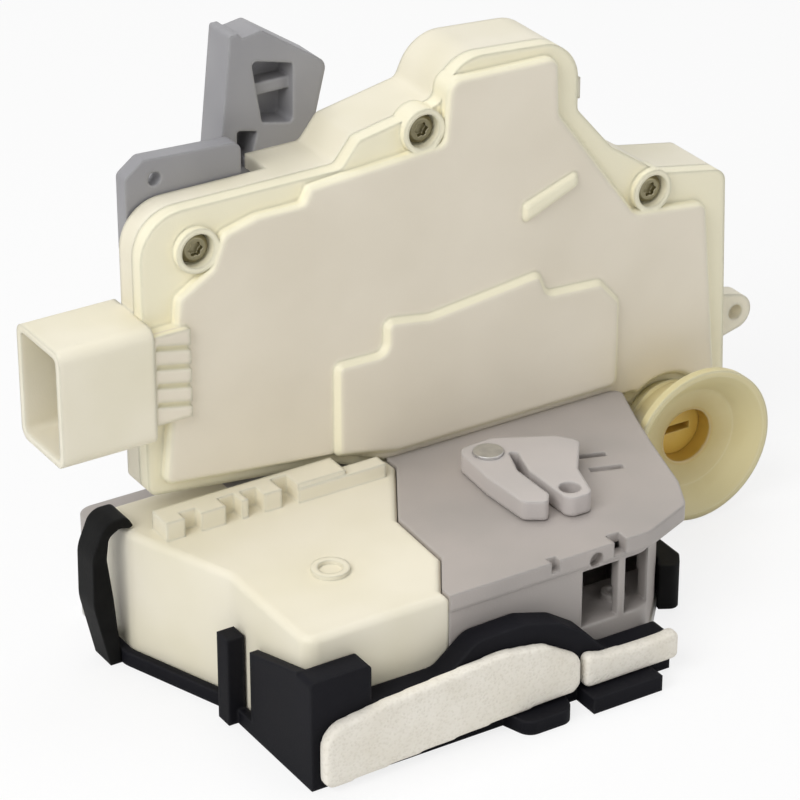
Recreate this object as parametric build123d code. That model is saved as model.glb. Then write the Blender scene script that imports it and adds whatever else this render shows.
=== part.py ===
"""Side door latch actuator of a car: a steel latch unit with an upright actuator case standing on it.

The origin is midway between the two fixing holes, on the outer face of the steel faceplate. Z points up,
away from the faceplate, Y to the inside of the car and X along the case, away from its connector.
"""
from build123d import *
import os
from math import cos, radians, sin

# Fits and walls
RUN = 0.05  # radial clearance of a turning fit
PRESS = 0.02  # radial clearance of a pin set in its plate
GAP = 0.3  # air beside a moving piece
WALL = 2.0

# Faceplate and striker mouth
PLATE = 2.5
BOLT_SPAN = 60.0
BOLT_TAP_R = 3.4
COLLAR_R = 5.0
COLLAR_TOP = 8.0
STRIKER_Y = 20.0
MOUTH_HALF = 7.0
MOUTH_FLARE = 6.0
MOUTH_FLARE_LONG = 13.0
LATCH_LEFT = -46.0
LATCH_WAIST = 8.5
LATCH_RIGHT = 57.0
LATCH_FRONT = -24.0
LATCH_REAR = 53.0

# Catch and pawl
CATCH_X = -14.0
CATCH_R = 20.0
CATCH_LOW = 5.0
CATCH_THICK = 5.0
SLOT_HALF = 6.2
SLOT_REACH = 14.0
NOTCH_DEEP = 3.5
CATCH_TURN = 58.0
SWITCH_TURN = 145.0
PAWL_X, PAWL_Y = 17.6, -2.0
PAWL_BOSS_R = 6.3
PIN_R = 4.0
BACK_PLATE = 1.8
SPRING_ROOM = 5.8
SPRING_R = 5.6
SPRING_WIRE_R = 0.7

# Release lever on the housing
POST_X, POST_Y = PAWL_X + 5.0, PAWL_Y + 8.0
LEVER_X, LEVER_Y = POST_X + 3.5, POST_Y + 6.0
LEVER_THICK = 4.0
LEVER_HUB_R = 6.0
SHAFT_R = 3.0
POST_R = 1.8
POST_TOP = 24.5
FINGER_LOW = 20.0
FINGER_THICK = 4.0

# Latch housing, lever cover and guide
HOUSING_TOP = 29.0
COVER_REAR = 40.0
COVER_INNER = -20.0
DECK = 17.6
REAR_TOP = 22.4
DECK_THICK = 3.5
SKIRT = 1.6
GUIDE_DEEP = 5.0
GUIDE_SIDE = 1.8
GUIDE_LOW = 3.0
GUIDE_TOP = 15.0
CORNER_TOP = 23.5
LEDGE_TOP = 12.0
FOAM_THICK = 2.5

# Actuator case: its own X and Y are across and up its face, and depth runs back from that face
CASE_LEFT = -40.0
CASE_FACE = 28.0
CASE_FLOOR = 36.0
CASE_DEEP = 19.0
COVER_DEEP = 6.0
SCREW_SEAT = 3.7
FLANGE_SET = 2.5
SHALLOW_DEEP = 11.0
CARRIER_DEEP = 27.0
CARRIER_PLATE = 2.5
LEFT_TOP = 57.0
DOME_TOP = 74.0
DOME_LEFT = 67.0
DOME_WIDE = 31.5
RIGHT_WING = 39.5
DOME_RIGHT = DOME_LEFT + DOME_WIDE
CASE_WIDE = DOME_RIGHT + RIGHT_WING
SHOULDER = 36.0
FLOOR_LOW = -12.5
CORNER_LOW = -18.5

# Connector shroud
SOCKET_LONG = 20.0
SOCKET_LOW, SOCKET_HIGH = 11.7, 36.4
SOCKET_NEAR, SOCKET_FAR = -2.0, 15.5
SOCKET_WALL = 1.6
SOCKET_FLOOR = 3.0
BLADE = 0.8
BLADE_PITCH = 4.4
BLADE_LONG = 13.8

# Cable bracket
TOWER_LEFT = DOME_LEFT - 37.4
TOWER_WIDE = 21.0
TOWER_HIGH = 81.8
TOWER_LOW = 72.0
EAR_TOP = 64.5
BAY_LEFT = 12.0
CABLE_R = 1.4

# Key funnel
KEY_X, KEY_Y = CASE_WIDE - 17.0, -18.2
FUNNEL_R = 17.0
FUNNEL_LONG = 13.5
FUNNEL_DEEP = 5.5
KEY_BORE_R = 6.0
KEY_TUBE_R = 8.0

# Motors and wheels
CAN_WIDE, CAN_THICK, CAN_LONG = 20.1, 14.6, 25.1
MOTOR_SHAFT_R = 1.0
WORM_R = 2.1
WORM_LONG = 13.0
WHEEL_R = 10.0
WHEEL_TEETH = 28
WHEEL_THICK = 5.0
TOOTH_OUT, TOOTH_IN = 0.6, 0.9
CENTRE_GAP = 13.0
PIVOT_R = 2.5
PEG_R = 1.2
PEG_OUT = 7.5
PEG_START = -30.0
LOCK_X, LOCK_Y = DOME_RIGHT - 5.5, 30.4
SAFE_X, SAFE_Y = DOME_LEFT - 6.0, 10.0
SLIDER_WIDE = 7.0
SLIDER_THICK = 3.8

# Small fasteners and switches
SCREW_R = 1.5
SCREW_HEAD_R = 3.2
SCREW_HEAD = 1.8
BOSS_R = 4.6
SWITCH_LONG, SWITCH_TALL, SWITCH_THICK = 12.8, 5.2, 5.8
PLUNGER_R = 1.0
PLUNGER_OUT = 1.2
CAN_GAP = 4.2

INNER_PIVOT = (DOME_LEFT - 9.0, 26.0)
CASE = Plane(origin=(CASE_LEFT, CASE_FACE, CASE_FLOOR), x_dir=(1, 0, 0), z_dir=(0, -1, 0))
CATCH_Y = STRIKER_Y
SHALLOW_WIDE = SAFE_X - CENTRE_GAP - CAN_WIDE / 2 - WALL - 3.95
CATCH_TOP = CATCH_LOW + CATCH_THICK
BACK_LOW = CATCH_TOP + SPRING_ROOM
BACK_TOP = BACK_LOW + BACK_PLATE
MOTOR_DEPTH = WALL + 0.2 + CAN_THICK / 2
SWITCH_DEPTH = CASE_DEEP - WALL - SWITCH_THICK / 2
CATCH_SWITCH_Z = 8.5
CATCH_SWITCH_OUT = CATCH_R + 0.2 + PLUNGER_OUT + SWITCH_TALL / 2
SCREWS = [(11.4, 48.7), (DOME_LEFT - 5.5, 61.5), (CASE_WIDE - 21.5, 35.5)]


def outline(points, radii):
    """Face inside a closed run of points, with each corner rounded."""
    return make_face(FilletPolyline(*points, radius=radii, close=True))


def slab(face, low, high):
    return Pos(0, 0, low) * extrude(face, amount=high - low)


def layer(face, near, far):
    """A slice of the case between two depths behind its face."""
    return Pos(0, 0, -far) * extrude(face, amount=far - near)


def disc(x, y, r):
    return Pos(x, y) * Circle(r)


def block(x0, x1, y0, y1):
    return Pos((x0 + x1) / 2, (y0 + y1) / 2) * Rectangle(x1 - x0, y1 - y0)


def polar(r, angle):
    return (r * cos(radians(angle)), r * sin(radians(angle)))


# Outlines that several pieces share


def latch_outline(inset=0.0):
    left, right = LATCH_LEFT + inset, LATCH_RIGHT - inset
    front, rear = LATCH_FRONT + inset, LATCH_REAR - inset
    points = [(left + LATCH_WAIST, front), (right - 17, front), (right - 2, front + 17), (right, rear)]
    points += [(left, rear), (left, STRIKER_Y + 8.5), (left + LATCH_WAIST, STRIKER_Y - 15)]
    return outline(points, [3, 6, 6, 4, 4, 6, 6])


def mouth(widen=0.0):
    """The way of the striker, from the rear edge to its closed place."""
    half = MOUTH_HALF + widen
    wide = half + MOUTH_FLARE
    bend = LATCH_REAR - MOUTH_FLARE_LONG
    end = LATCH_REAR + 1
    points = [(-half, STRIKER_Y), (-half, bend), (-wide, end), (wide, end), (half, bend), (half, STRIKER_Y)]
    return make_face(Polyline(*points, close=True)) + disc(0, STRIKER_Y, half)


def case_outline():
    points = [(0, -1.5), (0, LEFT_TOP), (DOME_LEFT - 23, LEFT_TOP), (DOME_LEFT - 19, LEFT_TOP + 5)]
    points += [(DOME_LEFT - 1, LEFT_TOP + 8.5), (DOME_LEFT + 3, DOME_TOP), (DOME_RIGHT, DOME_TOP - 2)]
    points += [(DOME_RIGHT, LEFT_TOP), (DOME_RIGHT + 8.5, SHOULDER + 11), (CASE_WIDE - 18, SHOULDER + 2)]
    points += [(CASE_WIDE - 2, SHOULDER - 1), (CASE_WIDE, CORNER_LOW), (CASE_WIDE - 22, FLOOR_LOW - 2)]
    points += [(CASE_WIDE - 26, FLOOR_LOW), (56, FLOOR_LOW), (42, -6.5)]
    radii = [2, 9, 2, 2, 2, 9, 9, 2, 3, 4, 3, 3, 2, 2, 3, 3]
    return outline(points, radii) - disc(KEY_X, KEY_Y, KEY_TUBE_R + 0.2)


def plateau_outline():
    right = CASE_WIDE
    points = [(2.5, 1), (6.5, 40), (14, 44.5), (16.5, 51), (24, 53), (34, 53), (35.5, 56)]
    points += [(DOME_LEFT - 1.2, 58), (DOME_LEFT, DOME_TOP - 3), (DOME_RIGHT - 6, DOME_TOP - 3.5)]
    points += [(DOME_RIGHT - 5.5, LEFT_TOP + 1), (right - 26, SHOULDER - 4), (right - 8, SHOULDER - 6)]
    points += [(right - 3.5, CORNER_LOW + 2), (right - 22, FLOOR_LOW + 1), (right - 25, FLOOR_LOW + 3)]
    points += [(55.5, FLOOR_LOW + 3), (42.7, -3.7)]
    radii = [2, 2, 2, 2, 2, 1, 1, 1.5, 3, 3, 2, 3, 3, 3, 1.5, 1.5, 2, 2]
    return outline(points, radii) - disc(KEY_X, KEY_Y, KEY_TUBE_R + 2.5)


# Latch unit


def faceplate():
    plate = slab(latch_outline(), 0, PLATE)
    for side in (-1, 1):
        plate += slab(disc(side * BOLT_SPAN / 2, 0, COLLAR_R), PLATE, COLLAR_TOP)
    plate -= slab(mouth(), -1, PLATE + 1)
    for side in (-1, 1):
        plate -= slab(disc(side * BOLT_SPAN / 2, 0, BOLT_TAP_R), -1, COLLAR_TOP + 1)
    for x, y in ((CATCH_X, CATCH_Y), (PAWL_X, PAWL_Y)):
        plate -= slab(disc(x, y, PIN_R + PRESS), -1, PLATE + 1)
    for x, y in latch_screw_places():
        plate -= slab(disc(x, y, SCREW_R + RUN), -1, PLATE + 1)
        plate -= Pos(x, y, SCREW_HEAD / 2) * Cone(SCREW_HEAD_R + RUN, SCREW_R + RUN, SCREW_HEAD)
    return plate


def latch_screw_places():
    return [(LATCH_LEFT + 8, LATCH_REAR - 6), (LATCH_RIGHT - 8, LATCH_REAR - 6), (LATCH_RIGHT - 12, 4)]


def latch_screws():
    screws = None
    for x, y in latch_screw_places():
        one = Pos(x, y, SCREW_HEAD / 2) * Cone(SCREW_HEAD_R, SCREW_R, SCREW_HEAD)
        one += slab(disc(x, y, SCREW_R), SCREW_HEAD, PLATE + 7)
        screws = one if screws is None else screws + one
    return screws


def back_plate():
    points = [(-30, 36), (-30, 6), (-14, -9), (27, -9), (27, 2.5), (17, 5), (12, 12), (12, 36)]
    plate = slab(outline(points, [3, 8, 8, 3, 1, 1, 3, 2]) - mouth(1), BACK_LOW, BACK_TOP)
    for x, y in ((CATCH_X, CATCH_Y), (PAWL_X, PAWL_Y)):
        plate -= slab(disc(x, y, PIN_R - 1 + PRESS), BACK_LOW - 1, BACK_TOP + 1)
    return plate


def pivot_pin(x, y):
    """Shouldered pin from the faceplate to the back plate."""
    pin = slab(Circle(PIN_R), 0.4, CATCH_TOP + GAP)
    pin += slab(Circle(PIN_R + 1.4), PLATE, CATCH_LOW - 0.2)
    pin += slab(Circle(PIN_R - 1), 0.4, BACK_TOP + 0.8)
    return Pos(x, y, 0) * pin


def catch():
    """Drawn closed about its own pivot, then swung open."""
    face = Circle(CATCH_R)
    wedge = [(0, 9), (4, CATCH_R + 3), (-CATCH_R - 5, CATCH_R + 3), (-CATCH_R - 5, -9), (-9, -4), (-9, 6)]
    face -= outline(wedge, [2, 0, 0, 0, 4, 4])
    face += Circle(CATCH_R / 2)
    face -= disc(SLOT_REACH, 0, SLOT_HALF) + block(SLOT_REACH, CATCH_R + 5, -SLOT_HALF, SLOT_HALF)
    for start, end, deep in ((-77, -54, NOTCH_DEEP), (-103, -88, NOTCH_DEEP - 0.5)):
        floor = CATCH_R - deep
        corners = [polar(floor, start), polar(CATCH_R + 5, start), polar(CATCH_R + 5, end), polar(floor, end)]
        face -= make_face(Polyline(*corners, close=True))
    face -= Circle(PIN_R + RUN)
    body = slab(face, CATCH_LOW, CATCH_TOP)
    body += Pos(*polar(CATCH_R / 2 - 1.6, 150)) * slab(Circle(1.2), CATCH_TOP, CATCH_TOP + 3.5)
    return Pos(CATCH_X, CATCH_Y, 0) * Rot(0, 0, CATCH_TURN) * body


def pawl():
    arm = [(PAWL_X, 4), (-4, 3), (-9.5, 2.5), (-10, -4), (-4, -6.5), (PAWL_X, -8)]
    face = outline(arm, [0, 1, 0, 3, 4, 0]) + disc(PAWL_X, PAWL_Y, PAWL_BOSS_R)
    face += make_hull((disc(POST_X, POST_Y, 3.2) + disc(PAWL_X, PAWL_Y, PAWL_BOSS_R - 1)).edges())
    face -= disc(CATCH_X, CATCH_Y, CATCH_R + GAP)
    face -= disc(PAWL_X, PAWL_Y, PIN_R + RUN)
    body = slab(face, CATCH_LOW, CATCH_TOP)
    body += slab(disc(POST_X, POST_Y, POST_R), CATCH_TOP, POST_TOP)
    body += slab(disc(PAWL_X - 9, PAWL_Y - 2, 1.2), CATCH_TOP, CATCH_TOP + 3.5)
    return body


def torsion_spring(x, y, start):
    """Two and a half turns of round wire round a pin, with a straight leg."""
    turns, pitch = 2.5, 1.55
    path = Helix(pitch=pitch, height=turns * pitch, radius=SPRING_R)
    wire = Plane(path @ 0, z_dir=path % 0) * RegularPolygon(SPRING_WIRE_R, 8)
    coil = sweep(wire, path, is_frenet=True)
    return Pos(x, y, CATCH_TOP + SPRING_WIRE_R + 0.2) * Rot(0, 0, start) * coil


def latch_housing():
    """Grey moulding: walls round the catch, and a raised deck on the right that reaches to the key funnel."""
    right_side = cover_edge_right(0.15)
    walls = latch_outline(0.4 + SKIRT + GAP) + (latch_outline(0.4) & right_side)
    walls += latch_outline(0.4) & block(LATCH_LEFT, LATCH_RIGHT, COVER_REAR + GAP, LATCH_REAR)
    body = slab(walls, PLATE, DECK)
    raised = latch_outline(0.4) & right_side
    body += slab(raised, DECK, HOUSING_TOP)
    deck = wide_deck() & right_side
    body += slab(deck, HOUSING_TOP - DECK_THICK, HOUSING_TOP)
    rear = latch_outline(0.4) & block(LATCH_LEFT, LATCH_RIGHT, CASE_FACE - GAP, LATCH_REAR)
    body += slab(rear - cover_footprint(GAP), DECK, REAR_TOP)
    inner = offset(walls, amount=-WALL)
    body -= slab(inner & block(LATCH_LEFT, LATCH_RIGHT, LATCH_FRONT, LATCH_REAR - 8), 0, DECK + 0.1)
    upper = offset(raised, amount=-WALL - 0.4)
    body -= slab(upper, DECK - WALL - 1, HOUSING_TOP - WALL)
    body += slab(block(22, 48, LATCH_FRONT + 1, -11) & latch_outline(0.4), LEDGE_TOP - 2, LEDGE_TOP)
    for x0, x1 in ((24.5, 33), (34.5, 41)):
        body -= slab(block(x0, x1, LATCH_FRONT - 1, -12), LEDGE_TOP, HOUSING_TOP - DECK_THICK - 1)
    body += slab(disc(36.5, -17, 2.4) - disc(36.5, -17, 1.2), LEDGE_TOP, LEDGE_TOP + 1.2)
    body -= slab(block(31.5, 34.5, LATCH_FRONT - 1, LATCH_FRONT + 3), HOUSING_TOP - 3.2, HOUSING_TOP + 1)
    body -= slab(block(17, 19, LATCH_FRONT - 1, LATCH_FRONT + 1.8), HOUSING_TOP - 2.4, HOUSING_TOP + 1)
    body -= Pos(27.5, LATCH_FRONT, HOUSING_TOP - 2.6) * Rot(90, 0, 0) * Cylinder(1.6, 4)
    for y in (1, 7):
        body -= slab(Pos(47, y) * Rot(0, 0, -18) * Rectangle(7, 1.6), HOUSING_TOP - 1.6, HOUSING_TOP + 1)
    body -= slab(mouth(1), 0, DECK + 3)
    body -= slab(disc(LEVER_X, LEVER_Y, SHAFT_R + RUN), DECK, HOUSING_TOP + 5)
    for x, y in latch_screw_places():
        roof = REAR_TOP if y > CASE_FACE else HOUSING_TOP - 1
        body += slab(disc(x, y, 4), PLATE, roof)
        body -= slab(disc(x, y, SCREW_R + PRESS), 0, PLATE + 8)
    for side in (-1, 1):
        body -= slab(disc(side * BOLT_SPAN / 2, 0, COLLAR_R + GAP), 0, COLLAR_TOP + GAP)
    return body + switch_seat()


def cover_edge_right(gap):
    """All that lies to the right of the slanted joint with the lever cover, in front of the case."""
    far = LATCH_RIGHT + 20
    points = [(-6 + gap, -40), (-6 + gap, LATCH_FRONT + 3), (0.3 + gap, -11), (1.2 + gap, 6), (12 + gap, 24)]
    points += [(12 + gap, CASE_FACE - GAP), (far, CASE_FACE - GAP), (far, -40)]
    return make_face(Polyline(*points, close=True))


def wide_deck():
    """Top of the raised side, which runs out past the walls to the key funnel."""
    right = LATCH_RIGHT
    points = [(-10, LATCH_FRONT), (right - 17, LATCH_FRONT), (right - 5, LATCH_FRONT + 5), (right - 1, -11)]
    points += [(right + 3.2, 3), (right + 7, 14.5), (right + 12, CASE_FACE - GAP), (-10, CASE_FACE - GAP)]
    return outline(points, [0, 5, 3, 5, 5, 3, 2, 0])


def cover_footprint(widen=0.0):
    """Plan of the lever cover, which runs back under the shallow end of the case."""
    side = latch_outline(0.4) & block(LATCH_LEFT, COVER_INNER + widen, LATCH_FRONT, COVER_REAR + widen)
    front = latch_outline(0.4) & block(LATCH_LEFT, LATCH_RIGHT, LATCH_FRONT, CASE_FACE - GAP + widen)
    return side + (front - cover_edge_right(widen))


def switch_seat():
    """Ledge inside the left wall that carries the catch's switch."""
    seat = Pos(-SWITCH_LONG / 4, -CATCH_SWITCH_OUT - 2.5) * Rectangle(SWITCH_LONG, SWITCH_TALL + 5)
    seat = Pos(CATCH_X, CATCH_Y) * Rot(0, 0, SWITCH_TURN + 90) * seat
    return slab(seat & latch_outline(0.4 + SKIRT + GAP), PLATE, CATCH_SWITCH_Z - SWITCH_THICK / 2)


def lever_cover():
    """Cream lid over the left of the latch, with a skirt down to the faceplate and ribs under the case."""
    face = cover_footprint()
    body = slab(face, DECK, HOUSING_TOP)
    body = fillet(body.edges().filter_by(lambda e: e.center().Z > HOUSING_TOP - 0.01), radius=1.5)
    body -= slab(offset(face, amount=-WALL), DECK - 1, HOUSING_TOP - WALL)
    skirt = (latch_outline(0.4) - latch_outline(0.4 + SKIRT)) & face
    body += slab(skirt, PLATE, DECK)
    ring = disc(-20, -4, 3.8) - disc(-20, -4, 2.4)
    body += slab(ring, HOUSING_TOP, HOUSING_TOP + 0.8)
    rear = CASE_FACE - GAP
    wall = slab(block(LATCH_LEFT + 5, -1, rear - 6, rear), HOUSING_TOP - WALL, CASE_FLOOR - 3)
    for x, deep in ((-37, 3), (-28, 4), (-23, 4), (-15.5, 5)):
        wall -= slab(block(x, x + 3.6, rear - 6.5, rear - 6.5 + deep), HOUSING_TOP - 0.5, CASE_FLOOR)
    body += wall
    body += slab(block(-12, 8, rear - 6.5, rear - 3), HOUSING_TOP - WALL, HOUSING_TOP + 3)
    return body


def base_guide():
    """Black rail along the front and left of the faceplate, with a corner block, a hump and a snap tab."""
    side = LATCH_LEFT + LATCH_WAIST
    left, right = side - GUIDE_SIDE, LATCH_RIGHT - 15
    back = LATCH_FRONT + GUIDE_DEEP * 3.5
    face_plane = Plane(origin=(0, LATCH_FRONT, 0), x_dir=(1, 0, 0), z_dir=(0, -1, 0))
    points = [(left, 0), (left, CORNER_TOP), (left + 13, CORNER_TOP), (left + 13, GUIDE_TOP), (-10, GUIDE_TOP)]
    points += [(-3, GUIDE_TOP + 5.6), (8, GUIDE_TOP + 5.9), (16, GUIDE_TOP + 3.5), (22, GUIDE_TOP - 0.5)]
    points += [(27.5, GUIDE_TOP - 6.7), (right, GUIDE_TOP - 6.7), (right, 0)]
    rail = face_plane * extrude(outline(points, [0, 1, 1, 1, 4, 5, 6, 6, 4, 3, 1, 0]), amount=GUIDE_DEEP)
    leg = [(LATCH_FRONT - 0.1, 0), (LATCH_FRONT - 0.1, CORNER_TOP), (LATCH_FRONT, CORNER_TOP)]
    leg += [(back, CORNER_TOP - 5), (back, 0)]
    leg_plane = Plane(origin=(left, 0, 0), x_dir=(0, 1, 0), z_dir=(1, 0, 0))
    rail += leg_plane * extrude(make_face(Polyline(*leg, close=True)), amount=GUIDE_SIDE)
    ring = latch_outline(-GUIDE_SIDE) - latch_outline()
    rail += slab(ring & block(LATCH_LEFT - 5, side + 2, LATCH_FRONT, COVER_REAR - 3), 0, GUIDE_LOW)
    rail += slab(block(left - 2, side - 0.1, -1.5, 2.5), 0, DECK + 1.4)
    front = LATCH_FRONT - GUIDE_DEEP
    bowl = [(3, front), (5, front - 6), (15, front - 6), (17, front)]
    rail += slab(outline(bowl, [0, 3, 3, 0]), 0, 3)
    rail += slab(block(20, 36, front - 6, front), 0, 3.4)
    return rail


def foam(points, radii):
    plane = Plane(origin=(0, LATCH_FRONT - GUIDE_DEEP, 0), x_dir=(1, 0, 0), z_dir=(0, -1, 0))
    return plane * extrude(outline(points, radii), amount=FOAM_THICK)


def seal_hook():
    """Curled rubber flap on the left end of the guide."""
    left = LATCH_LEFT
    outer = [(left - 4.3, 0), (left - 7.4, 14), (left - 7.2, 25), (left - 4.2, 32), (left + 0.6, 32)]
    tip = [(left + 1.8, 29.8), (left + 0.9, 29.5), (left - 1.2, 30)]
    inner = [(left - 3.6, 28.6), (left - 4.2, 24), (left - 3.1, 15), (left - GUIDE_SIDE, 0)]
    face = outline(outer + tip + inner, [0, 12, 8, 3.5, 1.6, 0.3, 0.3, 1, 2, 3, 12, 0])
    plane = Plane(origin=(0, COVER_REAR - 4, 0), x_dir=(1, 0, 0), z_dir=(0, -1, 0))
    return plane * extrude(face, amount=6.5)


def corner_seal():
    right = LATCH_RIGHT
    points = [(right - 1, 3), (right + 2.4, 2), (right + 2.2, -8), (right - 0.5, -12), (right - 4, -10)]
    face = outline(points, [0, 2, 2, 2, 0]) - latch_outline(-0.01)
    return slab(face, 0, 10)


def striker_bumper():
    face = block(-6, 6, 8, STRIKER_Y - 2) - disc(0, STRIKER_Y, MOUTH_HALF - 0.8)
    return slab(face, CATCH_TOP + GAP, BACK_LOW)


def lever_eye():
    return LEVER_X + 5.9, LEVER_Y - 20


def outer_release_lever():
    """Forked lever on top of the housing, its eye for the outside handle at the end of the right arm."""
    x, y = LEVER_X, LEVER_Y
    points = [(x - 4.5, y + 4.5), (x + 4, y + 5), (x + 15.5, y - 1), (x + 18.5, y - 5), (x + 11.5, y - 14.5)]
    points += [(x + 8.5, y - 24), (x + 3, y - 24), (x + 3, y - 10), (x + 5.2, y - 2.6), (x + 3.6, y - 1.8)]
    points += [(x + 1, y - 9), (x + 1, y - 20), (x - 1, y - 22.5), (x - 5, y - 20), (x - 5.5, y - 8)]
    face = outline(points, [3, 3, 2, 2, 3, 2, 2, 1, 0.7, 0.7, 1, 1, 1, 2, 3])
    face -= disc(*lever_eye(), 2.2) + disc(x, y, SHAFT_R + PRESS)
    low = HOUSING_TOP + 0.4
    return slab(face, low, low + LEVER_THICK)


def release_shaft():
    top = HOUSING_TOP + 0.4 + LEVER_THICK
    shaft = slab(disc(LEVER_X, LEVER_Y, SHAFT_R), FINGER_LOW, top + 0.6)
    west = POST_X + POST_R + GAP
    shaft += slab(block(west, LEVER_X + 2, POST_Y - 2, LEVER_Y), FINGER_LOW, FINGER_LOW + FINGER_THICK)
    return shaft


# Actuator case


def actuator_cover():
    """Lid of the case: a raised face inside a lower rim, a stepped panel on it, and ribs at the socket."""
    cover = layer(plateau_outline(), 0, COVER_DEEP)
    rim = cover.edges().filter_by(lambda e: abs(e.center().Z) < 0.01)
    cover = chamfer(rim, length=0.9)
    cover += layer(case_outline(), FLANGE_SET, COVER_DEEP)
    cover -= layer(offset(plateau_outline(), amount=-WALL), WALL, COVER_DEEP + 1)
    right = CASE_WIDE
    step = [(40, -3.2), (40, 17.6), (51.4, 17.3), (51.4, 24.4), (62, 22.7), (right - 50, 25.5)]
    step += [(right - 48, 20.5), (right - 35, 19.7), (right - 30, 14), (right - 30, -6), (54, -6)]
    panel = layer(outline(step, [1.6, 2, 2, 2, 2, 2, 2, 2, 3, 2, 2]), -1.7, 0.5)
    cover += chamfer(panel.edges().filter_by(lambda e: e.center().Z > 1.69), length=1.3)
    ridge = outline([(right - 54, 36.5), (right - 41, 42), (right - 41, 45.5), (right - 54, 41)], 1)
    ridge = layer(ridge, -1.2, 0.5)
    cover += chamfer(ridge.edges().filter_by(lambda e: e.center().Z > 1.19), length=0.9)
    hood = block(0, 8, SOCKET_LOW + 4, SOCKET_HIGH - 2)
    cover += layer(hood, -SOCKET_WALL, FLANGE_SET + 1)
    for v in range(4):
        groove = Pos(4.5, SOCKET_LOW + 7.5 + 4 * v) * Rot(0, 0, -12) * Rectangle(8, 1.1)
        cover -= layer(groove, -SOCKET_WALL - 1, -SOCKET_WALL + 0.9)
    for x, y in SCREWS:
        cover += layer(disc(x, y, BOSS_R), 0.7, COVER_DEEP)
        cover -= layer(disc(x, y, SCREW_HEAD_R + GAP), -1, SCREW_SEAT)
        cover -= layer(disc(x, y, SCREW_R + RUN), -1, COVER_DEEP + 1)
    return cover


def cover_screws():
    screws = None
    top = SCREW_SEAT
    for x, y in SCREWS:
        one = layer(disc(x, y, SCREW_HEAD_R), top - SCREW_HEAD, top)
        one += layer(disc(x, y, SCREW_R), top, SHALLOW_DEEP - 1.2)
        one -= layer(Pos(x, y) * RegularPolygon(1.2, 6), top - SCREW_HEAD - 1, top - SCREW_HEAD + 1.1)
        screws = one if screws is None else screws + one
    return screws


def shroud():
    """Connector socket on the left wall, its mouth to the left."""
    long = SOCKET_LONG
    box = Box(long, SOCKET_HIGH - SOCKET_LOW, SOCKET_FAR - SOCKET_NEAR)
    box = fillet(box.edges().filter_by(Axis.X), radius=2.5)
    inner = Box(long, SOCKET_HIGH - SOCKET_LOW - 2 * SOCKET_WALL, SOCKET_FAR - SOCKET_NEAR - 2 * SOCKET_WALL)
    inner = fillet(inner.edges().filter_by(Axis.X), radius=1.2)
    box -= Pos(-SOCKET_FLOOR, 0, 0) * inner
    return Pos(-long / 2, (SOCKET_LOW + SOCKET_HIGH) / 2, -(SOCKET_NEAR + SOCKET_FAR) / 2) * box


def blade_places():
    middle = (SOCKET_LOW + SOCKET_HIGH) / 2
    return [(middle + (row - 1.5) * BLADE_PITCH, depth) for row in range(4) for depth in (4.6, 8.0)]


def connector_pins():
    pins = None
    for y, depth in blade_places():
        pin = Pos(-BLADE_LONG / 2 - 1, y, -depth) * Box(BLADE_LONG, BLADE, BLADE)
        pins = pin if pins is None else pins + pin
    return pins


def actuator_tray():
    whole = case_outline()
    inner = offset(whole, amount=-WALL)
    deep = block(SHALLOW_WIDE, CASE_WIDE + 1, CORNER_LOW - 2, DOME_TOP + 2)
    tray = layer(whole, COVER_DEEP, SHALLOW_DEEP) + layer(whole & deep, SHALLOW_DEEP, CASE_DEEP)
    tray -= layer(inner, COVER_DEEP - 1, SHALLOW_DEEP - WALL)
    hollow = inner & block(SHALLOW_WIDE + WALL, CASE_WIDE, CORNER_LOW, DOME_TOP)
    tray -= layer(hollow, COVER_DEEP - 1, CASE_DEEP - WALL)
    for x, y in SCREWS:
        post = disc(x, y, BOSS_R) & whole
        tray += layer(post, COVER_DEEP, SHALLOW_DEEP)
        tray -= layer(disc(x, y, SCREW_R + PRESS), 0, SHALLOW_DEEP - 1)
    for x, y in ((LOCK_X, LOCK_Y), (SAFE_X, SAFE_Y)):
        tray += layer(disc(x, y, PIVOT_R), WALL + 0.3, CASE_DEEP - WALL)
        tray += layer(disc(x, y, PIVOT_R + 1), MOTOR_DEPTH + WHEEL_THICK / 2 + GAP, CASE_DEEP - WALL)
    tray += shroud()
    for y, depth in blade_places():
        tray -= Pos(-BLADE_LONG / 2 - 1, y, -depth) * Box(BLADE_LONG, BLADE + 2 * PRESS, BLADE + 2 * PRESS)
    lug = make_hull((disc(CASE_WIDE + 5.5, -1.5, 4) + block(CASE_WIDE - 1, CASE_WIDE, -7, 4)).edges())
    tray += layer(lug, COVER_DEEP + 0.5, SHALLOW_DEEP)
    tray -= layer(disc(CASE_WIDE + 5.5, -1.5, 1.7), 0, CASE_DEEP)
    tray += layer(block(DOME_RIGHT - 0.5, DOME_RIGHT + 3, 57.5, 62), COVER_DEEP, SHALLOW_DEEP)
    return tray


def motor_can(x, y):
    """Small flat-sided motor, its shaft pointing down, with the foot of the can at height y."""
    body = Pos(0, CAN_LONG / 2, 0) * Box(CAN_WIDE, CAN_LONG, CAN_THICK)
    round_can = Pos(0, CAN_LONG / 2, 0) * Rot(90, 0, 0) * Cylinder(CAN_WIDE / 2, CAN_LONG)
    can = body & round_can
    can += Pos(0, -0.7, 0) * Rot(90, 0, 0) * Cylinder(3, 1.4)
    can -= Pos(0, 2, 0) * Rot(90, 0, 0) * Cylinder(MOTOR_SHAFT_R + RUN, 10)
    return Pos(x, y, -MOTOR_DEPTH) * can


def motor_cap(x, y):
    cap = Pos(0, 1.1, 0) * Box(CAN_WIDE - 5, 2.2, CAN_THICK - 1.5)
    cap = fillet(cap.edges().filter_by(Axis.Y), radius=3)
    cap += Pos(0, 2.6, 0) * Rot(90, 0, 0) * Cylinder(2, 0.8)
    return Pos(x, y + CAN_LONG, -MOTOR_DEPTH) * cap


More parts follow.
